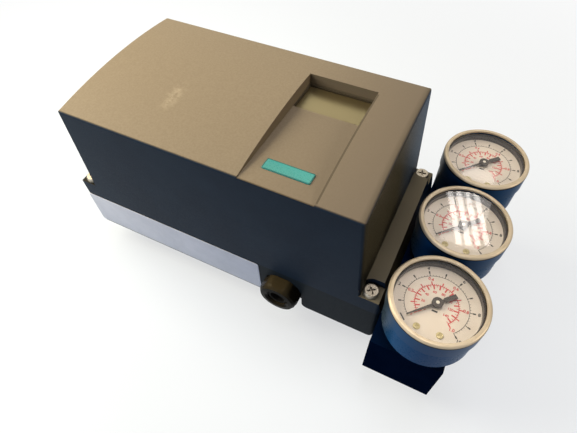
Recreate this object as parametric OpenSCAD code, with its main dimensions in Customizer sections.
// Electropneumatic valve positioner with a three-gauge block.
// The rear mounting face lies at z = 0, and the feedback shaft turns on the Z axis.

/* [Housing base] */
// Length of the housing, end to end
base_l = 182; // [176:0.5:196]
// Width of the housing
base_w = 88.5; // [86:0.5:98]
// Height of the base, from the rear face to the parting line
base_h = 27; // [26:0.5:32]
// Thickness of the rear wall
floor_t = 4; // [3:0.5:5]
// Step of the base's rim inside the cover's wall
rim = 1; // [0.5:0.25:2]
// Radius of the upright corners
corner_r = 3; // [1:0.5:4]
// Radius of the lower end edges
foot_r = 4; // [2:0.5:5]

/* [Cover] */
// Height of the cover, from the parting line to its crown
cover_h = 68; // [62:1:80]
// Rise of the crowned top across its width
crown = 3.1; // [1.5:0.1:4.5]
// Wall thickness of the cover
cover_wall = 2.5; // [2:0.25:3]
// Height of the end ledges above the parting line
ledge_h = 15; // [14:0.5:18]
// Set-back of the end walls at the ledges
end_inset = 11.3; // [11.2:0.1:13]
// Set-back of the end walls at the top edge
top_inset = 14.6; // [13:0.1:17]
// Lean of each ledge's outer face over its height
ledge_lean = 3; // [1:0.25:3.5]
// Lean of each long wall over its height
side_draft = 0.5; // [0.25:0.25:1.5]
// Radius of the cover's top edges
edge_r = 1.25; // [1:0.25:3]
// Radius of the cover's upright corners at the right end
cover_corner_r = 2.25; // [2:0.25:5]
// Radius of the cover's upright corners at the left end
left_corner_r = 1.5; // [1:0.25:5]

/* [Cover screws and seal] */
// Distance of a cover screw from the end of the housing
screw_end = 7.4; // [6.6:0.1:7.5]
// Distance of a cover screw from the side of the housing
screw_side = 4.4; // [4.2:0.1:5]
// Thread diameter of a cover screw
screw_d = 4; // [3:0.5:4.5]
// Head diameter of a cover screw
screw_head_d = 7.6; // [6.5:0.1:7.8]
// Head height of a cover screw
screw_head_h = 2.4; // [1.8:0.1:3]
// Thread length of a cover screw in the base
screw_grip = 12; // [8:1:14]
// Depth of a screw pocket below the ledge
pocket_depth = 4.6; // [3:0.2:6]
// Room round a screw head in its pocket
pocket_room = 1; // [0.6:0.1:1.6]
// Width of the cover seal
seal_w = 1.2; // [0.8:0.1:1.4]
// Height of the cover seal
seal_h = 1.5; // [1:0.1:2]
// Height of the cover's tongue that presses on the seal
tongue_h = 0.8; // [0.5:0.1:1.2]

/* [Display window] */
// Middle of the display recess, from the shaft, in a housing of standard length
recess_x = 37.85; // [33:0.25:39]
// Width of the display recess
recess_w = 34.7; // [30:0.1:36]
// Distance of the recess from the back of the housing
recess_back = 16.5; // [12:0.5:22]
// Depth of the recess at its back wall
recess_depth = 5.9; // [4:0.1:7]
// Depth of the recess at the front edge
recess_front = 0.4; // [0.2:0.1:1]
// Length of the window along the ramp
window_l = 18.4; // [14:0.1:22]
// Rim between the window and the recess walls
window_rim = 0.8; // [0.5:0.1:1.5]
// Thickness of the window's lip
lip_t = 1.6; // [1.2:0.1:2.2]
// Overlap of the window's lip behind the opening
lip_w = 2.2; // [1.6:0.1:3]
// Thickness of the window's seal
window_seal_t = 0.6; // [0.4:0.1:1]
// How far the pane lies below the ramp
pane_drop = 0.7; // [0.3:0.1:1.2]

/* [Electronics] */
// Length of the electronics carrier in a housing of standard length
carrier_l = 86; // [84:0.5:90]
// Width of the electronics carrier in a housing of standard width
carrier_w = 76; // [74:0.5:78]
// Wall thickness of the carrier
carrier_wall = 2; // [1.5:0.25:2.5]
// Gap between the carrier and the window's lip
display_gap = 3.4; // [2:0.2:5]
// Height of the carrier's feet above the rear face
carrier_foot = 34; // [33:0.5:36]
// Diameter of the carrier's screw columns
column_d = 8.4; // [8:0.1:9.5]
// Thread diameter of the carrier and board screws
small_screw_d = 3; // [2.5:0.1:3]
// Head diameter of the carrier and board screws
small_head_d = 5.4; // [5:0.1:5.6]
// Head height of the carrier and board screws
small_head_h = 2; // [1.5:0.1:2.5]
// Thread length of the carrier and board screws
small_grip = 9; // [6:0.5:10]
// Thickness of the circuit boards
board_t = 1.6; // [1:0.1:2]
// Room between the main board and the carrier's top plate
board_drop = 9; // [8:0.5:11]
// Width of the display module
display_w = 33; // [30:0.5:34]
// Length of the display module
display_l = 22; // [18:0.5:24]
// Diameter of a button
button_d = 6.4; // [5:0.1:7]
// Distance between the buttons
button_pitch = 11; // [10.5:0.25:13]
// Gap between the display and the button row
button_row = 9; // [8:0.5:11]
// Travel of a button
button_travel = 1; // [0.6:0.1:1.4]
// Height of a button above the carrier
button_rise = 2.2; // [1.6:0.1:2.8]

/* [Terminals] */
// Length of the terminal board
terminal_board_l = 40; // [36:0.5:42]
// Width of the terminal board
terminal_board_w = 66; // [62:0.5:72]
// Distance between wire terminals
terminal_pitch = 6.5; // [6:0.1:7]
// Number of wire terminals
terminal_count = 8; // [6:1:8]
// Depth of the terminal block
terminal_d = 14; // [12:0.5:16]
// Height of the terminal block
terminal_h = 16; // [13:0.5:18]

/* [Pneumatics] */
// Length of the pneumatic block along the housing
pneumatic_l = 17; // [16:0.5:18]
// Width of the pneumatic block
pneumatic_w = 72; // [68:0.5:76]
// Height of the pneumatic block above the rear wall
pneumatic_h = 30; // [24:0.5:34]
// Distance between the three air ports of the housing
port_pitch = 29; // [27:0.5:30]
// Height of the air ports above the rear face
port_z = 14.5; // [13:0.5:15.5]
// Diameter of the air channels
channel_d = 6; // [4:0.5:7]
// Height of the valve unit
valve_h = 15; // [12:0.5:18]
// Diameter of a restrictor screw
restrictor_d = 5; // [4:0.5:6]
// Distance of a restrictor screw from the middle
restrictor_y = 18; // [15:0.5:22]
// Travel of the purge slider, end to end
purge_travel = 5; // [3:0.5:6]

/* [Feedback shaft and gears] */
// Diameter of the shaft's free end
shaft_d = 8; // [6:0.5:9]
// Length of the free end behind the rear face
shaft_free = 15; // [10:0.5:20]
// Diameter of the shaft's journal
journal_d = 10; // [9.5:0.5:12]
// Outer diameter of the shaft's bush
bush_d = 14; // [13:0.5:15]
// Height of the bush's boss above the rear face
bush_h = 12; // [11:0.5:13]
// Tooth module of the gears in a housing of standard width
tooth_m = 0.8; // [0.7:0.05:0.8]
// Teeth of the drive gear
drive_teeth = 54; // [48:6:54]
// Teeth of the potentiometer gear
pot_teeth = 18; // [18:2:18]
// Thickness of the gears
gear_t = 4; // [3:0.5:5]
// Diameter of the friction wheel
wheel_d = 27; // [24:0.5:30]
// Diameter of the potentiometer
pot_d = 19; // [16:0.5:20]
// Diameter of the potentiometer's spindle
spindle_d = 4; // [3:0.5:5]

/* [Rear mounting holes] */
// Distance between the M6 holes along the housing
m6_x = 50; // [46:0.5:54]
// Distance between the M6 holes across the housing
m6_y = 33; // [30:0.5:36]
// Core diameter of the M6 holes
m6_d = 5; // [4.5:0.1:5.5]
// Depth of the M6 holes
m6_depth = 9; // [7:0.5:9]
// Distance of the M8 holes from the shaft
m8_x = 58.5; // [56:0.5:60]
// Distance between the M8 holes
m8_y = 50; // [46:0.5:52]
// Core diameter of the M8 holes
m8_d = 6.8; // [6:0.1:7.2]
// Depth of the M8 holes
m8_depth = 14; // [10:0.5:15]

/* [Cable gland] */
// Place of the gland, from the shaft, in a housing of standard length
gland_x = 38.5; // [34:0.5:40]
// Height of the gland's axis above the rear face
gland_z = 12.5; // [12:0.5:14]
// Thread diameter of the gland
gland_thread_d = 16; // [14:0.5:17]
// Size of the gland nut across its flats
gland_af = 20; // [19:0.5:22]
// Length of the gland nut
gland_nut_l = 8; // [7:0.5:12]
// Depth of the recess in front of the gland's seat
gland_recess = 4; // [3:0.5:6]
// Cable bore of the gland's seal
gland_bore_d = 8; // [6:0.5:9]

/* [Gauge block] */
// Width of the gauge block, away from the housing
block_w = 33; // [31:0.5:38]
// Height of the gauge block
block_h = 33; // [31:0.5:35]
// Length of the block past the outer gauges
block_over = 17.25; // [14:0.25:22]
// Core diameter of the outer air ports
port_d = 11.8; // [10:0.1:12]
// Depth of the outer air ports
port_depth = 12; // [8:0.5:12]
// Distance of the block's screws from the middle
block_screw_y = 14.5; // [13:0.25:16]
// Distance of the block's screws from the port height
block_screw_z = 8; // [7.5:0.25:8.5]
// Thread diameter of the block's screws
block_screw_d = 5; // [4:0.5:5]
// Head diameter of the block's screws
block_head_d = 8; // [7:0.1:8.2]
// Head height of the block's screws
block_head_h = 5; // [4:0.5:5]

/* [Pressure gauges] */
// Distance between the gauges
gauge_pitch = 43; // [42.5:0.25:46]
// Distance of the gauges from the housing's end
gauge_out = 20; // [20:0.25:22]
// Height of the gauges' rims above the rear face
gauge_top = 61.5; // [58:0.5:64]
// Depth of a gauge, from its rim to its back
gauge_depth = 23.5; // [21:0.5:25]
// Diameter of a gauge case
case_d = 40; // [38:0.5:41]
// Wall thickness of a gauge case
case_wall = 0.8; // [0.6:0.1:1.2]
// Thickness of the bezel ring
bezel_t = 0.6; // [0.3:0.1:0.6]
// Width of the bezel's lip over the lens
bezel_lip = 1.5; // [1.2:0.1:2]
// Depth of the dial below the rim
dial_drop = 5.6; // [5.2:0.1:6.5]
// Sweep of the dial from zero to full scale, in degrees
dial_sweep = 270; // [240:10:270]
// Thread diameter of a gauge stem
stem_d = 9.7; // [8:0.1:10]
// Thread length of a gauge stem
stem_l = 9; // [7:0.5:10]

/* [Clearances] */
// Gap on each side between pieces that are fixed together
fit_gap = 0.05; // [0.02:0.01:0.1]
// Gap on each side between a turning shaft and its bore
run_gap = 0.05; // [0.02:0.01:0.1]
// Gap between pieces that move past each other
move_gap = 0.3; // [0.2:0.05:0.5]

/* [Hidden] */
$fn = 48;
// Sides of the wide circle that the cover is swung round
crown_fn = 720;
// Steps in a corner's arc
arc_n = 5;
// A cut runs this far past a face
eps = 1;

// Length and width of a housing of standard size, and how far this one differs
standard_l = 182;
standard_w = 88.5;
grow_l = base_l - standard_l;
grow_w = base_w - standard_w;
// Heights of the housing
ledge_z = base_h + ledge_h;
cover_top = base_h + cover_h;
edge_z = cover_top - crown;
pocket_z = ledge_z - pocket_depth;
// The crowned top is swung about a low axis along X
crown_r = (pow(base_w / 2 - side_draft, 2) + crown * crown) / (2 * crown);
crown_axis = cover_top - crown_r;
// Distance of the cover's corner from that axis, at the ledge
ledge_r = sqrt(pow(base_w / 2, 2) + pow(ledge_z - crown_axis, 2));
end_lean = atan((top_inset - end_inset) / (crown_r - ledge_r));
side_lean = atan(side_draft / (edge_z - base_h));
swing = 2 * (asin(base_w / 2 / (base_h - crown_axis)) + 1);
inner_r = 0.8;
// Inside of the cover at the parting line
in_l = base_l - 2 * (end_inset + cover_wall);
in_w = base_w - 2 * cover_wall;
// Inside of the base
cavity_l = in_l - 2 * rim;
cavity_w = in_w - 2 * rim;
end_x = base_l / 2;
screw_x = end_x - screw_end;
screw_y = base_w / 2 - screw_side;
pocket_r = screw_head_d / 2 + pocket_room;
// Hollows that lighten the ends
core_wall = 1.5;
core_l = end_inset - cover_wall - ledge_lean - core_wall;
core_w = base_w - 2 * (screw_side + pocket_r + cover_wall);
core_x = end_x - cover_wall - ledge_lean - core_l / 2;
// Seal groove in the base's rim, under the middle of the cover's wall
groove_l = in_l + cover_wall - seal_w;
groove_w = in_w + cover_wall - seal_w;
groove_depth = seal_h + tongue_h + fit_gap;
groove_r = 2;
tongue_w = seal_w - 4 * fit_gap;

// Display recess and its ramp, which keep their distance from the right end
recess_mid = recess_x + grow_l / 2;
recess_y = base_w / 2 - recess_back;
recess_z = crown_z(recess_y) - recess_depth;
ramp_run = recess_y + base_w / 2 - side_draft;
ramp_a = atan((edge_z - recess_front - recess_z) / ramp_run);
window_w = recess_w - 2 * window_rim;
window_mid = -window_rim - window_l / 2;
lip_z = -cover_wall - window_seal_t - lip_t;

// Electronics, hung below the window
carrier_top = recess_z + lip_z - display_gap;
carrier_len = carrier_l + grow_l;
carrier_wid = carrier_w + grow_w;
carrier_x = recess_mid + recess_w / 2 + 2 - carrier_len / 2;
column_x = carrier_len / 2 - column_d / 2;
column_y = carrier_wid / 2 - column_d / 2;
column_step = 4;
plate_z = carrier_top - carrier_wall;
board_z = plate_z - board_drop;
board_l = carrier_len - 2 * (column_d + move_gap);
board_w = carrier_wid - 2 * (carrier_wall + move_gap);
peg_d = 5;
display_y = recess_y + window_mid;
display_rise = 1;
button_y = display_y - display_l / 2 - button_row;
flange_t = 1.2;
flange_d = button_d + 3;
switch_w = 6;
switch_top = plate_z - move_gap - flange_t - button_travel - move_gap;
switch_body_h = 3.2;
post_d = 7;

// Terminals at the left end
terminal_x = -in_l / 2 + 2 + terminal_board_l / 2;
terminal_z = carrier_foot;
terminal_block_w = terminal_count * terminal_pitch + 3;
terminal_post_x = terminal_board_l / 2 - post_d / 2;
terminal_post_y = terminal_board_w / 2 - post_d / 2;
wire_d = 3;
terminal_screw_d = 4;
terminal_screw_h = 2;

// Pneumatics at the right end
pneumatic_x = cavity_l / 2 - pneumatic_l / 2;
pneumatic_top = floor_t + pneumatic_h;
valve_l = 8;
valve_w = 46;
valve_x = pneumatic_x - pneumatic_l / 2 + valve_l / 2 + 0.5;
control_x = cavity_l / 2 - 4.5;
restrictor_l = 8;
restrictor_rise = 2.5;
purge_l = 9;
purge_w = 5;
purge_depth = 3;

// Feedback shaft and gears
gear_z = bush_h + 1 + move_gap;
// The gears grow with the width, so that the potentiometer keeps its distance from the side wall
gear_m = tooth_m + grow_w / (drive_teeth + pot_teeth);
drive_r = drive_teeth * gear_m / 2;
pot_r = pot_teeth * gear_m / 2;
pot_y = drive_r + pot_r;
backlash = 0.14;
hub_d = journal_d + 6;
wheel_z = gear_z + gear_t + 1;
wheel_t = 4;
knurl_n = 24;
knurl_d = 1.4;
ring_t = 1;
shaft_top = wheel_z + wheel_t + ring_t + 1.5;
ring_groove = 0.6;
seal_ring_h = 2;
boss_d = bush_d + 6;
pot_z = gear_z - 1.2;
m6_boss_d = m6_d + 7;
m8_boss_d = m8_d + 8;
boss_cap = 2.5;

// Cable gland in the front wall, which keeps its distance from the right end
gland_mid = gland_x + grow_l / 2;
front_y = -base_w / 2;
gland_seat = front_y + gland_recess;
gland_wall = 6;
gland_collar_d = gland_thread_d + 5;
gland_arch_r = gland_collar_d / 2 + 0.5;
gland_flare_r = 3;
// The nut's corners are turned down to this diameter
gland_turn_d = gland_af * 1.08;
gland_core_d = gland_bore_d + 2;
gland_seal_d = gland_bore_d + 4.6;
gland_neck_d = gland_seal_d + 2.4;
gland_neck_l = gland_nut_l - 2.2;
gland_seal_l = gland_nut_l - 1.6;
gland_mouth_d = gland_bore_d + 3;

// Gauge block at the right end
block_l = 2 * (gauge_pitch + block_over);
block_x = end_x + block_w / 2;
gauge_x = end_x + gauge_out;
block_screw_grip = 11;
block_head_sink = 1;
seal_ring_d = 1.8;
seal_ring_r = channel_d / 2 + 2;

// Pressure gauges
case_r = case_d / 2;
case_z = gauge_top - gauge_depth;
case_floor = 1.2;
bezel_r = case_r + fit_gap + bezel_t;
bezel_h = 9.4;
bezel_edge_r = 1.2;
lens_t = 1.9;
lens_top = gauge_top - 1;
rim_z = lens_top - lens_t;
dial_z = gauge_top - dial_drop;
dial_t = 0.6;
dial_r = case_r - case_wall - move_gap;
zero_a = 90 + dial_sweep / 2;
arbor_d = 1.6;
pointer_z = dial_z + 1;
pointer_t = 0.6;
hub_top = rim_z - move_gap - 0.2;
pointer_hub_d = 4.6;
pointer_l = 14;
tail_l = 9;
tail_w = 2;
tail_neck_l = 3.6;
arm_w = 1.2;
tip_w = 0.4;
plate_r = 9;
plate_t = 1;
pillar_d = 2.4;
spigot_d = 8;
socket_z = case_z + case_floor + 2.4;
tube_ring_r = 14;
tube_d = 3;
tube_z = socket_z + 2.2;
hex_af = 14;
collar_h = 1.4;

// Height of the crowned top at a distance y from the middle
function crown_z(y) = crown_axis + sqrt(crown_r * crown_r - y * y);

// Points along an arc
function arc(c, r, a0, a1) =
  [for (i = [0 : arc_n]) let (a = a0 + (a1 - a0) * i / arc_n) c + r * [cos(a), sin(a)]];

// Outline of a rounded rectangle about its middle
function rounded(l, w, r) = concat(
  arc([l / 2 - r, w / 2 - r], r, 0, 90),
  arc([-l / 2 + r, w / 2 - r], r, 90, 180),
  arc([-l / 2 + r, -w / 2 + r], r, 180, 270),
  arc([l / 2 - r, -w / 2 + r], r, 270, 360));

// Angle that an involute has unrolled, in degrees, where it reaches radius r
function unroll(base_r, r) = sqrt(max(0, pow(r / base_r, 2) - 1)) * 180 / PI;
// Polar angle of an involute at radius r
function involute(base_r, r) = let (a = unroll(base_r, r)) a - atan(a * PI / 180);

// Half the angle that a tooth covers at radius r
function tooth_half(teeth, r) =
  let (pitch_r = teeth * gear_m / 2, base_r = pitch_r * cos(20), at = max(r, base_r))
  90 / teeth - backlash / pitch_r * 90 / PI + involute(base_r, pitch_r) - involute(base_r, at);

// Outline of a spur gear whose first tooth points at angle turn
function gear_outline(teeth, turn) =
  let (root_r = teeth * gear_m / 2 - 1.25 * gear_m, tip_r = teeth * gear_m / 2 + gear_m,
       flank = [for (i = [0 : 3]) root_r + (tip_r - root_r) * i / 3])
  [for (k = [0 : teeth - 1]) let (a = turn + k * 360 / teeth)
    for (side = [-1, 1], i = [0 : 3])
      let (r = side < 0 ? flank[i] : flank[3 - i], b = a + side * tooth_half(teeth, r))
      r * [cos(b), sin(b)]];

// Puts its children at each corner of a rectangle
module at_corners(x, y) for (sx = [-1, 1], sy = [-1, 1]) translate([sx * x, sy * y, 0]) children();

// Turns a drawing in X and Z into a slab along Y, or one in Y and Z into a slab along X
module slab_y(w) rotate([90, 0, 0]) linear_extrude(w, center = true) children();
module slab_x(l) rotate([90, 0, 90]) linear_extrude(l, center = true) children();

// A cylinder along +X, or along +Y, from where it stands
module rod_x(d, l) rotate([0, 90, 0]) cylinder(d = d, h = l);
module rod_y(d, l) rotate([-90, 0, 0]) cylinder(d = d, h = l);

// A box whose middle stands on the XY plane
module plinth(l, w, h) translate([-l / 2, -w / 2, 0]) cube([l, w, h]);

// A ring of rectangular section that follows a rounded rectangle
module frame_ring(l, w, width, r, h) linear_extrude(h) difference() {
  polygon(rounded(l + 2 * width, w + 2 * width, r + width));
  polygon(rounded(l, w, r));
}

// Frame of the display ramp: its middle line runs along local -Y from the recess's back edge
module on_ramp() translate([recess_mid, recess_y, recess_z]) rotate([-ramp_a, 0, 0]) children();

// Housing base

module base_block() intersection() {
  linear_extrude(base_h) polygon(rounded(base_l, base_w, corner_r));
  slab_y(base_w) polygon(concat(
    arc([-end_x + foot_r, foot_r], foot_r, 180, 270),
    arc([end_x - foot_r, foot_r], foot_r, 270, 360),
    [[end_x, base_h], [-end_x, base_h]]));
}

module base_bosses() {
  cylinder(d = boss_d, h = bush_h);
  at_corners(m6_x / 2, m6_y / 2) cylinder(d = m6_boss_d, h = m6_depth + boss_cap);
  for (s = [-1, 1]) translate([-m8_x, s * m8_y / 2, 0]) cylinder(d = m8_boss_d, h = m8_depth + boss_cap);
  translate([carrier_x, 0, 0]) at_corners(column_x, column_y) cylinder(d = post_d, h = carrier_foot);
  translate([terminal_x, 0, 0])
    at_corners(terminal_post_x, terminal_post_y) cylinder(d = post_d, h = terminal_z);
  translate([gland_mid, front_y + (gland_recess + gland_wall) / 2, foot_r])
    plinth(2 * gland_arch_r + 6, gland_recess + gland_wall, base_h - foot_r - rim);
}

// Round arch above the gland, with straight sides that flare out at the rear face
module gland_arch() {
  foot = gland_arch_r + gland_flare_r;
  polygon(concat(
    arc([foot, gland_flare_r], gland_flare_r, 270, 180),
    arc([0, gland_z], gland_arch_r, 0, 180),
    arc([-foot, gland_flare_r], gland_flare_r, 0, -90),
    [[-foot, -eps], [foot, -eps]]));
}

module gland_notch() translate([gland_mid, front_y, 0]) {
  translate([0, gland_recess / 2 - eps / 2, 0]) slab_y(gland_recess + eps) gland_arch();
  translate([0, 0, gland_z]) rod_y(gland_thread_d + 2 * fit_gap, gland_recess + gland_wall + eps);
}

module base_holes() {
  translate([0, 0, -eps]) {
    cylinder(d = bush_d + 2 * fit_gap, h = bush_h + 2 * eps);
    at_corners(m6_x / 2, m6_y / 2) cylinder(d = m6_d, h = m6_depth + eps);
    for (s = [-1, 1]) translate([-m8_x, s * m8_y / 2, 0]) cylinder(d = m8_d, h = m8_depth + eps);
  }
  at_corners(screw_x, screw_y)
    translate([0, 0, base_h - screw_grip - eps])
      cylinder(d = screw_d + 2 * fit_gap, h = screw_grip + 2 * eps);
  translate([carrier_x, 0, carrier_foot - small_grip - eps])
    at_corners(column_x, column_y) cylinder(d = small_screw_d + 2 * fit_gap, h = small_grip + 2 * eps);
  translate([terminal_x, 0, terminal_z - small_grip - eps])
    at_corners(terminal_post_x, terminal_post_y)
      cylinder(d = small_screw_d + 2 * fit_gap, h = small_grip + 2 * eps);
  translate([0, 0, base_h - groove_depth])
    frame_ring(groove_l, groove_w, seal_w, groove_r, groove_depth + eps);
  for (i = [-1 : 1]) translate([cavity_l / 2 - eps, i * port_pitch, port_z])
    rod_x(channel_d, end_x - cavity_l / 2 + 2 * eps);
  for (sy = [-1, 1], sz = [-1, 1])
    translate([end_x - block_screw_grip, sy * block_screw_y, port_z + sz * block_screw_z])
      rod_x(block_screw_d + 2 * fit_gap, block_screw_grip + eps);
}

module base_housing() color("#3a3733") difference() {
  union() {
    difference() {
      base_block();
      translate([0, 0, floor_t]) linear_extrude(base_h) polygon(rounded(cavity_l, cavity_w, corner_r));
      translate([-core_x, 0, floor_t]) plinth(core_l, core_w, base_h);
    }
    base_bosses();
  }
  base_holes();
  gland_notch();
}

// Cover

// Half width of the cover at height z, with its walls moved in
function half_w(in, z) = base_w / 2 - in - (z - base_h) * tan(side_lean);

// Section across the cover, from height z up, with rounded top edges of radius r
module cover_section(in, z, r) {
  corner_y = half_w(in, edge_z - in - r) - r / cos(side_lean);
  corner_z = crown_axis + sqrt(pow(crown_r - in - r, 2) - corner_y * corner_y);
  tilt = atan(corner_y / (corner_z - crown_axis));
  edge = arc([corner_y, corner_z], r, side_lean, 90 - tilt);
  right = concat([[half_w(in, z), z]], edge, [[edge[arc_n][0], cover_top + eps]]);
  left = [for (i = [len(right) - 1 : -1 : 0]) [-right[i][0], right[i][1]]];
  polygon(concat(right, left));
}

// Length section of the cover as distance from the crown's axis and place along it
module cover_profile(in, r) {
  low = end_x - end_inset - in;
  corner = crown_r - in - r;
  corner_x = low - (corner - ledge_r) * tan(end_lean) - r / cos(end_lean);
  foot = base_h - crown_axis - 2 * eps;
  edge = arc([corner, corner_x], r, 90 - end_lean, 0);
  right = concat([[foot, low], [ledge_r, low]], edge);
  left = [for (i = [len(right) - 1 : -1 : 0]) [right[i][0], -right[i][1]]];
  polygon(concat(right, left));
}

// The length section swung about the crown's axis
module cover_swung(in, r) translate([0, 0, crown_axis]) rotate([0, -90, 0]) rotate(-swing / 2)
  rotate_extrude(angle = swing, $fn = crown_fn) cover_profile(in, r);

// Puts its children at one corner and mirrors them to the others
module each_corner() for (mx = [0, 1], my = [0, 1]) mirror([mx, 0, 0]) mirror([0, my, 0]) children();

// What rounds an upright corner of the body to radius r
module corner_cut(r) translate([end_x - end_inset, base_w / 2, ledge_z]) rotate([side_lean, -end_lean, 0])
  translate([-r, -r, -ledge_h - eps]) linear_extrude(2 * cover_h) difference() {
    square(r + 2 * eps);
    circle(r = r);
  }

// Flange with the end ledges, open at the corners for the screws
module cover_flange() difference() {
  intersection() {
    translate([0, 0, base_h]) linear_extrude(ledge_h) polygon(rounded(base_l, base_w, corner_r));
    slab_y(2 * base_w)
      polygon([[-end_x, base_h], [end_x, base_h],
               [end_x - ledge_lean, ledge_z], [-end_x + ledge_lean, ledge_z]]);
  }
  each_corner() translate([screw_x, screw_y, pocket_z]) linear_extrude(pocket_depth + eps) polygon(concat(
    arc([0, 0], pocket_r, 180, 270),
    [[screw_end + eps, -pocket_r], [screw_end + eps, screw_side + eps], [-pocket_r, screw_side + eps]]));
  for (s = [-1, 1]) translate([s * core_x, 0, base_h - eps])
    plinth(core_l, core_w, ledge_h - cover_wall + eps);
}

module cover_solid() intersection() {
  union() {
    cover_flange();
    difference() {
      cover_swung(0, edge_r);
      for (my = [0, 1]) mirror([0, my, 0]) {
        corner_cut(cover_corner_r);
        mirror([1, 0, 0]) corner_cut(left_corner_r);
      }
    }
  }
  slab_x(2 * base_l) cover_section(0, base_h, edge_r);
}

// Hollow of the cover, which leaves a tray below the display recess
module cover_hollow() difference() {
  intersection() {
    cover_swung(cover_wall, inner_r);
    slab_x(2 * base_l) cover_section(cover_wall, base_h - eps, inner_r);
  }
  on_ramp() translate([-recess_w / 2 - cover_wall, -base_w, -cover_wall])
    cube([recess_w + 2 * cover_wall, base_w + cover_wall, 2 * recess_depth + cover_wall]);
}

module cover() color("#5d574c") {
  difference() {
    cover_solid();
    cover_hollow();
    at_corners(screw_x, screw_y) translate([0, 0, base_h - eps])
      cylinder(d = screw_d + 4 * fit_gap, h = pocket_z - base_h + 2 * eps);
    on_ramp() translate([-recess_w / 2, -base_w, 0]) cube([recess_w, base_w, 2 * recess_depth]);
    on_ramp() translate([-window_w / 2, window_mid - window_l / 2, -cover_wall - eps])
      cube([window_w, window_l, cover_wall + 2 * eps]);
  }
  translate([0, 0, base_h - tongue_h])
    frame_ring(groove_l + seal_w - tongue_w, groove_w + seal_w - tongue_w,
               tongue_w, groove_r, tongue_h + eps);
}

module cover_seal() color("#1c1c1c") translate([0, 0, base_h - groove_depth])
  frame_ring(groove_l + 2 * fit_gap, groove_w + 2 * fit_gap, seal_w - 2 * fit_gap, groove_r, seal_h);

module cover_screws() color("#c9c6bd") at_corners(screw_x, screw_y) {
  translate([0, 0, pocket_z]) cylinder(d = screw_head_d, h = screw_head_h);
  translate([0, 0, base_h - screw_grip]) cylinder(d = screw_d, h = screw_grip + pocket_z - base_h);
}

module window_pane() color("#26281f") on_ramp() translate([0, window_mid, 0]) {
  translate([0, 0, lip_z]) plinth(window_w + 2 * lip_w, window_l + 2 * lip_w, lip_t);
  translate([0, 0, lip_z])
    plinth(window_w - 4 * fit_gap, window_l - 4 * fit_gap, -lip_z - pane_drop);
}

module window_seal() color("#1c1c1c") on_ramp() translate([0, window_mid, -cover_wall - window_seal_t])
  linear_extrude(window_seal_t) difference() {
    square([window_w + 2 * lip_w, window_l + 2 * lip_w], center = true);
    square([window_w, window_l], center = true);
  }

// Electronics

module carrier_shell() difference() {
  translate([0, 0, carrier_foot]) plinth(carrier_len, carrier_wid, carrier_top - carrier_foot);
  translate([0, 0, carrier_foot - eps])
    plinth(carrier_len - 2 * carrier_wall, carrier_wid - 2 * carrier_wall, plate_z - carrier_foot + eps);
}

module electronics_carrier() color("#2b2d30") translate([carrier_x, 0, 0]) difference() {
  union() {
    carrier_shell();
    at_corners(column_x, column_y) translate([0, 0, carrier_foot])
      cylinder(d = column_d, h = carrier_top - carrier_foot);
    at_corners(board_l / 2 - peg_d / 2, board_w / 2 - peg_d / 2) translate([0, 0, board_z])
      cylinder(d = peg_d, h = board_drop + eps);
  }
  at_corners(column_x, column_y) {
    translate([0, 0, carrier_foot - eps])
      cylinder(d = small_screw_d + 4 * fit_gap, h = column_step + 2 * eps);
    translate([0, 0, carrier_foot + column_step]) cylinder(d = small_head_d + 4 * fit_gap, h = carrier_top);
  }
  translate([recess_mid - carrier_x, display_y, plate_z - eps])
    plinth(display_w + 2 * move_gap, display_l + 2 * move_gap, carrier_wall + 2 * eps);
  for (i = [-1 : 1]) translate([recess_mid - carrier_x + i * button_pitch, button_y, plate_z - eps])
    cylinder(d = button_d + 2 * move_gap, h = carrier_wall + 2 * eps);
}

module small_screw(z) translate([0, 0, z]) {
  cylinder(d = small_head_d, h = small_head_h);
  translate([0, 0, -small_grip]) cylinder(d = small_screw_d, h = small_grip);
}

// Eight like screws, four through the carrier's columns and four through the terminal board
module board_screws() color("#c9c6bd") {
  translate([carrier_x, 0, 0]) at_corners(column_x, column_y) small_screw(carrier_foot + column_step);
  translate([terminal_x, 0, 0])
    at_corners(terminal_post_x, terminal_post_y) small_screw(terminal_z + board_t);
}

module circuit_board() color("#1f5a36") translate([carrier_x, 0, board_z - board_t])
  plinth(board_l, board_w, board_t);

module display_module() color("#8a9070") translate([recess_mid, display_y, board_z])
  plinth(display_w, display_l, carrier_top + display_rise - board_z);

module button_switches() color("#22252a") for (i = [-1 : 1])
  translate([recess_mid + i * button_pitch, button_y, board_z]) {
    plinth(switch_w, switch_w, switch_body_h);
    cylinder(d = switch_w / 2, h = switch_top - board_z);
  }

module push_button(i) color("#6d7276") translate([recess_mid + i * button_pitch, button_y, 0]) {
  translate([0, 0, plate_z - move_gap - flange_t]) cylinder(d = flange_d, h = flange_t);
  translate([0, 0, plate_z - move_gap]) cylinder(d = button_d, h = move_gap + carrier_wall + button_rise);
}

module mode_button() push_button(-1);
module decrease_button() push_button(0);
module increase_button() push_button(1);

// Terminals

module terminal_board() color("#1f5a36") translate([terminal_x, 0, terminal_z]) difference() {
  plinth(terminal_board_l, terminal_board_w, board_t);
  at_corners(terminal_post_x, terminal_post_y)
    translate([0, 0, -eps]) cylinder(d = small_screw_d + 4 * fit_gap, h = board_t + 2 * eps);
}

// Place of one wire terminal along the block
function terminal_y(i) = (i - (terminal_count - 1) / 2) * terminal_pitch;

module terminal_block() color("#4f7d52") translate([terminal_x, 0, terminal_z + board_t]) difference() {
  plinth(terminal_d, terminal_block_w, terminal_h);
  for (i = [0 : terminal_count - 1]) translate([0, terminal_y(i), 0]) {
    translate([0, 0, terminal_h / 3]) rod_x(wire_d, terminal_d / 2 + eps);
    translate([0, 0, terminal_h - 2 * terminal_screw_h])
      cylinder(d = terminal_screw_d + 2 * fit_gap, h = terminal_h);
  }
}

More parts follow.
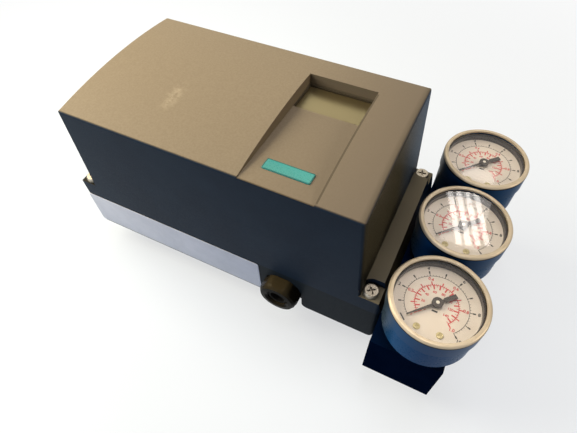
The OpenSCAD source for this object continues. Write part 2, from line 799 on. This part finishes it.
module terminal_screws() color("#c9c6bd") for (i = [0 : terminal_count - 1])
  translate([terminal_x, terminal_y(i), terminal_z + board_t + terminal_h - 2 * terminal_screw_h])
    cylinder(d = terminal_screw_d, h = terminal_screw_h);

// Pneumatics

module pneumatic_block() color("#55585c") difference() {
  translate([pneumatic_x, 0, floor_t]) plinth(pneumatic_l, pneumatic_w, pneumatic_h);
  for (i = [-1 : 1]) translate([pneumatic_x, i * port_pitch, port_z]) rod_x(channel_d, pneumatic_l);
  for (s = [-1, 1]) translate([control_x, s * restrictor_y, pneumatic_top - restrictor_l - move_gap])
    cylinder(d = restrictor_d + 2 * run_gap, h = restrictor_l + 2 * eps);
  translate([control_x, 0, pneumatic_top - purge_depth - move_gap])
    plinth(purge_w + 2 * move_gap, purge_l + purge_travel + 2 * move_gap, purge_depth + 2 * eps);
}

module valve_unit() color("#2b2d30") translate([valve_x, 0, pneumatic_top]) {
  plinth(valve_l, valve_w, valve_h - valve_l / 2);
  for (s = [-1, 1]) translate([0, s * valve_w / 4, 0]) cylinder(d = valve_l - 1, h = valve_h);
}

// The slider rests with the purge air shut off, at the front end of its slot
module purge_slider() color("#d8b53a")
  translate([control_x, -purge_travel / 2, pneumatic_top - purge_depth]) {
  plinth(purge_w, purge_l, purge_depth);
  translate([0, 0, purge_depth]) plinth(purge_w, purge_l / 3, 1.8);
}

module restrictor(s) color("#b99b4f")
  translate([control_x, s * restrictor_y, pneumatic_top - restrictor_l]) difference() {
  union() {
    cylinder(d = restrictor_d, h = restrictor_l + restrictor_rise);
    translate([0, 0, restrictor_l + move_gap]) cylinder(d = restrictor_d + 1, h = restrictor_rise - move_gap);
  }
  translate([0, 0, restrictor_l + restrictor_rise - 1.6]) cylinder(d = restrictor_d / 2, h = 2, $fn = 6);
}

module restrictor_front() restrictor(-1);
module restrictor_rear() restrictor(1);

// Feedback shaft and gears

module feedback_shaft() color("#b9bcc0") difference() {
  union() {
    translate([0, 0, -shaft_free]) cylinder(d = shaft_d, h = shaft_free);
    cylinder(d = journal_d, h = shaft_top);
  }
  translate([0, 0, wheel_z + wheel_t]) difference() {
    cylinder(d = journal_d + eps, h = ring_t + fit_gap);
    cylinder(d = journal_d - 2 * ring_groove, h = ring_t + fit_gap);
  }
}

module shaft_bush() color("#b99b4f") difference() {
  union() {
    translate([0, 0, seal_ring_h]) cylinder(d = bush_d, h = bush_h - seal_ring_h);
    translate([0, 0, bush_h]) cylinder(d = bush_d + 4, h = 1);
  }
  cylinder(d = journal_d + 2 * run_gap, h = bush_h + 2 * eps);
}

module shaft_seal() color("#1c1c1c") difference() {
  cylinder(d = bush_d, h = seal_ring_h);
  translate([0, 0, -eps]) cylinder(d = journal_d + 2 * run_gap, h = seal_ring_h + 2 * eps);
}

module retaining_ring() color("#6b6f74") translate([0, 0, wheel_z + wheel_t]) difference() {
  cylinder(d = journal_d + 5, h = ring_t);
  translate([0, 0, -eps]) cylinder(d = journal_d - 2 * ring_groove + 2 * fit_gap, h = ring_t + 2 * eps);
  translate([0, 0, -eps]) linear_extrude(ring_t + 2 * eps)
    polygon([[0, 0], [journal_d, journal_d / 2], [journal_d, -journal_d / 2]]);
}

module drive_gear() color("#d9d2be") translate([0, 0, gear_z]) difference() {
  union() {
    linear_extrude(gear_t) polygon(gear_outline(drive_teeth, 90 + 180 / drive_teeth));
    cylinder(d = hub_d, h = gear_t + 1);
  }
  translate([0, 0, -eps]) cylinder(d = journal_d + 2 * fit_gap, h = gear_t + 1 + 2 * eps);
}

module friction_wheel() color("#d8b53a") translate([0, 0, wheel_z]) difference() {
  cylinder(d = wheel_d, h = wheel_t);
  translate([0, 0, -eps]) cylinder(d = journal_d + 2 * fit_gap, h = wheel_t + 2 * eps);
  for (k = [0 : knurl_n - 1]) rotate(k * 360 / knurl_n) translate([wheel_d / 2, 0, -eps])
    cylinder(d = knurl_d, h = wheel_t + 2 * eps);
}

module potentiometer() color("#2f4f86") translate([0, pot_y, floor_t]) difference() {
  cylinder(d = pot_d, h = pot_z - floor_t);
  translate([0, 0, 2]) cylinder(d = spindle_d + 2 * run_gap, h = pot_z);
}

module potentiometer_gear() color("#d9d2be") translate([0, pot_y, 0]) {
  translate([0, 0, gear_z]) linear_extrude(gear_t) polygon(gear_outline(pot_teeth, 270));
  translate([0, 0, floor_t + 2 + move_gap]) cylinder(d = spindle_d, h = gear_z + gear_t + 1 - floor_t - 2);
}

// Cable gland

module gland_body() color("#15161a") translate([gland_mid, 0, gland_z]) difference() {
  union() {
    translate([0, gland_seat, 0]) rod_y(gland_thread_d, gland_wall + 1.5);
    translate([0, front_y, 0]) rod_y(gland_collar_d, gland_recess);
    translate([0, front_y - gland_neck_l, 0]) rod_y(gland_neck_d, gland_neck_l);
  }
  translate([0, front_y - gland_neck_l - eps, 0])
    rod_y(gland_core_d, gland_recess + gland_wall + gland_nut_l + 2 * eps);
  translate([0, front_y - gland_neck_l - eps, 0]) rod_y(gland_seal_d + 2 * fit_gap, gland_neck_l + eps);
}

module gland_seal() color("#1c1c1c") translate([gland_mid, front_y, gland_z]) difference() {
  translate([0, -gland_seal_l, 0]) rod_y(gland_seal_d, gland_seal_l);
  translate([0, -gland_seal_l - eps, 0]) rod_y(gland_bore_d, gland_seal_l + 2 * eps);
}

module gland_nut() color("#15161a") translate([gland_mid, front_y, gland_z]) difference() {
  intersection() {
    translate([0, -gland_nut_l, 0]) rotate([-90, 0, 0])
      cylinder(d = gland_af / cos(30), h = gland_nut_l, $fn = 6);
    translate([0, -gland_nut_l, 0]) rod_y(gland_turn_d, gland_nut_l);
  }
  translate([0, -gland_nut_l - eps, 0]) rod_y(gland_mouth_d, gland_nut_l);
  translate([0, -gland_seal_l - fit_gap, 0]) rod_y(gland_neck_d + 2 * fit_gap, gland_nut_l);
}

// Gauge block

module gauge_block() color("#14171c") difference() {
  translate([block_x, 0, 0]) plinth(block_w, block_l, block_h);
  for (i = [-1 : 1]) translate([0, i * gauge_pitch, 0]) {
    translate([end_x + block_w - port_depth, 0, port_z]) rod_x(port_d, port_depth + eps);
    translate([gauge_x, 0, block_h - stem_l - fit_gap]) cylinder(d = stem_d + 2 * fit_gap, h = stem_l + eps);
    translate([gauge_x, 0, port_z]) cylinder(d = channel_d, h = block_h - port_z - stem_l);
  }
  for (i = [-1 : 1]) {
    slant = atan2(i * (gauge_pitch - port_pitch), gauge_out);
    translate([end_x, i * port_pitch, port_z]) rotate([0, 0, slant])
      translate([-eps, 0, 0]) rod_x(channel_d, gauge_out / cos(slant) + channel_d / 2 + eps);
    translate([end_x, i * port_pitch, port_z]) difference() {
      translate([-eps, 0, 0])
        rod_x(2 * seal_ring_r + seal_ring_d + 4 * fit_gap, seal_ring_d + 2 * fit_gap + eps);
      translate([-2 * eps, 0, 0]) rod_x(2 * seal_ring_r - seal_ring_d - 4 * fit_gap, block_w);
    }
  }
  for (sy = [-1, 1], sz = [-1, 1]) translate([end_x, sy * block_screw_y, port_z + sz * block_screw_z]) {
    translate([-eps, 0, 0]) rod_x(block_screw_d + 4 * fit_gap, block_w + 2 * eps);
    translate([block_w - block_head_h - block_head_sink, 0, 0]) rod_x(block_head_d + 4 * fit_gap, block_w);
  }
}

module gauge_block_screws() color("#3a3d42") for (sy = [-1, 1], sz = [-1, 1])
  translate([end_x, sy * block_screw_y, port_z + sz * block_screw_z]) difference() {
    union() {
      translate([-block_screw_grip + fit_gap, 0, 0])
        rod_x(block_screw_d, block_screw_grip + block_w - block_head_h - block_head_sink);
      translate([block_w - block_head_h - block_head_sink, 0, 0]) rod_x(block_head_d, block_head_h);
    }
    translate([block_w - block_head_sink - block_head_h / 2, 0, 0]) rotate([0, 90, 0])
      cylinder(d = block_head_d / 2, h = block_head_h, $fn = 6);
  }

module gauge_block_seals() color("#1c1c1c") for (i = [-1 : 1])
  translate([end_x + fit_gap + seal_ring_d / 2, i * port_pitch, port_z]) rotate([0, 90, 0])
    rotate_extrude() translate([seal_ring_r, 0]) circle(d = seal_ring_d);

// Pressure gauges: i is -1 for the front gauge, 0 for the middle one and 1 for the rear one

module at_gauge(i) translate([gauge_x, i * gauge_pitch, 0]) children();

module gauge_stem(i) color("#b99b4f") at_gauge(i) difference() {
  union() {
    translate([0, 0, block_h - stem_l]) cylinder(d = stem_d, h = stem_l);
    translate([0, 0, block_h]) cylinder(d = hex_af / cos(30), h = case_z - block_h - collar_h, $fn = 6);
    translate([0, 0, case_z - collar_h]) cylinder(d = hex_af, h = collar_h);
    translate([0, 0, case_z]) cylinder(d = spigot_d, h = socket_z - case_z);
    rotate(-100) rotate_extrude(angle = 20) translate([0, case_z + case_floor])
      square([tube_ring_r + tube_d / 2 + 1, socket_z - case_z - case_floor]);
    rotate(-100) rotate_extrude(angle = 20) translate([tube_ring_r - tube_d / 2 - 1, socket_z - eps])
      square([tube_d + 2, tube_z + tube_d / 2 - socket_z + eps]);
  }
  translate([0, 0, block_h - stem_l - eps]) cylinder(d = stem_d / 3, h = socket_z - block_h + stem_l);
}

module gauge_case(i) color("#16191f") at_gauge(i) rotate_extrude() polygon([
  [spigot_d / 2 + fit_gap, case_z], [case_r, case_z], [case_r, rim_z], [case_r - case_wall, rim_z],
  [case_r - case_wall, case_z + case_floor], [spigot_d / 2 + fit_gap, case_z + case_floor]]);

module gauge_tube(i) color("#b08a4a") at_gauge(i) translate([0, 0, tube_z]) {
  rotate(-80) rotate_extrude(angle = 250) translate([tube_ring_r, 0]) circle(d = tube_d);
  rotate(165) rotate_extrude(angle = 12) translate([tube_ring_r, 0]) square(tube_d + 1, center = true);
}

module gauge_movement(i) color("#b99b4f") at_gauge(i) difference() {
  union() {
    translate([0, 0, socket_z]) cylinder(r = plate_r, h = plate_t);
    translate([0, 0, dial_z - dial_t - plate_t]) cylinder(r = plate_r, h = plate_t);
    for (k = [0 : 2]) rotate(30 + k * 120) translate([plate_r - 2, 0, socket_z])
      cylinder(d = pillar_d, h = dial_z - dial_t - socket_z);
  }
  translate([0, 0, socket_z + plate_t / 2]) cylinder(d = arbor_d + 2 * run_gap, h = gauge_depth);
}

module gauge_dial(i) color("#e9e7e2") at_gauge(i) translate([0, 0, dial_z - dial_t]) difference() {
  cylinder(r = dial_r, h = dial_t);
  translate([0, 0, -eps]) cylinder(d = arbor_d + 2 * move_gap, h = dial_t + 2 * eps);
}

// The pointer rests at zero, with its arbor in the movement's plates
module gauge_pointer(i) color("#241f1c") at_gauge(i) rotate(zero_a) {
  translate([0, 0, socket_z + plate_t / 2 + move_gap])
    cylinder(d = arbor_d, h = pointer_z - socket_z - plate_t / 2);
  translate([0, 0, pointer_z]) cylinder(d = pointer_hub_d, h = hub_top - pointer_z);
  translate([0, 0, pointer_z]) linear_extrude(pointer_t)
    polygon([[-tail_l, -tail_w / 2], [-tail_neck_l, -tail_w / 2], [-tail_neck_l, -arm_w / 2], [0, -arm_w / 2],
             [pointer_l, -tip_w / 2], [pointer_l, tip_w / 2], [0, arm_w / 2], [-tail_neck_l, arm_w / 2],
             [-tail_neck_l, tail_w / 2], [-tail_l, tail_w / 2]]);
}

module gauge_lens(i) color("#dfe6ea") at_gauge(i) translate([0, 0, rim_z])
  cylinder(r = case_r - fit_gap, h = lens_t);

module gauge_bezel(i) color("#cdbf9d") at_gauge(i) rotate_extrude() polygon(concat(
  [[case_r + fit_gap, gauge_top - bezel_h], [bezel_r, gauge_top - bezel_h]],
  arc([bezel_r - bezel_edge_r, gauge_top - bezel_edge_r], bezel_edge_r, 0, 90),
  [[case_r - bezel_lip, gauge_top], [case_r - bezel_lip, lens_top], [case_r + fit_gap, lens_top]]));

module front_gauge_stem() gauge_stem(-1);
module front_gauge_case() gauge_case(-1);
module front_gauge_tube() gauge_tube(-1);
module front_gauge_movement() gauge_movement(-1);
module front_gauge_dial() gauge_dial(-1);
module front_gauge_pointer() gauge_pointer(-1);
module front_gauge_lens() gauge_lens(-1);
module front_gauge_bezel() gauge_bezel(-1);
module middle_gauge_stem() gauge_stem(0);
module middle_gauge_case() gauge_case(0);
module middle_gauge_tube() gauge_tube(0);
module middle_gauge_movement() gauge_movement(0);
module middle_gauge_dial() gauge_dial(0);
module middle_gauge_pointer() gauge_pointer(0);
module middle_gauge_lens() gauge_lens(0);
module middle_gauge_bezel() gauge_bezel(0);
module rear_gauge_stem() gauge_stem(1);
module rear_gauge_case() gauge_case(1);
module rear_gauge_tube() gauge_tube(1);
module rear_gauge_movement() gauge_movement(1);
module rear_gauge_dial() gauge_dial(1);
module rear_gauge_pointer() gauge_pointer(1);
module rear_gauge_lens() gauge_lens(1);
module rear_gauge_bezel() gauge_bezel(1);

base_housing();
cover();
cover_seal();
cover_screws();
window_pane();
window_seal();
electronics_carrier();
board_screws();
circuit_board();
display_module();
button_switches();
mode_button();
increase_button();
decrease_button();
terminal_board();
terminal_block();
terminal_screws();
pneumatic_block();
valve_unit();
purge_slider();
restrictor_front();
restrictor_rear();
feedback_shaft();
shaft_bush();
shaft_seal();
retaining_ring();
drive_gear();
friction_wheel();
potentiometer();
potentiometer_gear();
gland_body();
gland_seal();
gland_nut();
gauge_block();
gauge_block_screws();
gauge_block_seals();
front_gauge_stem();
front_gauge_case();
front_gauge_tube();
front_gauge_movement();
front_gauge_dial();
front_gauge_pointer();
front_gauge_lens();
front_gauge_bezel();
middle_gauge_stem();
middle_gauge_case();
middle_gauge_tube();
middle_gauge_movement();
middle_gauge_dial();
middle_gauge_pointer();
middle_gauge_lens();
middle_gauge_bezel();
rear_gauge_stem();
rear_gauge_case();
rear_gauge_tube();
rear_gauge_movement();
rear_gauge_dial();
rear_gauge_pointer();
rear_gauge_lens();
rear_gauge_bezel();
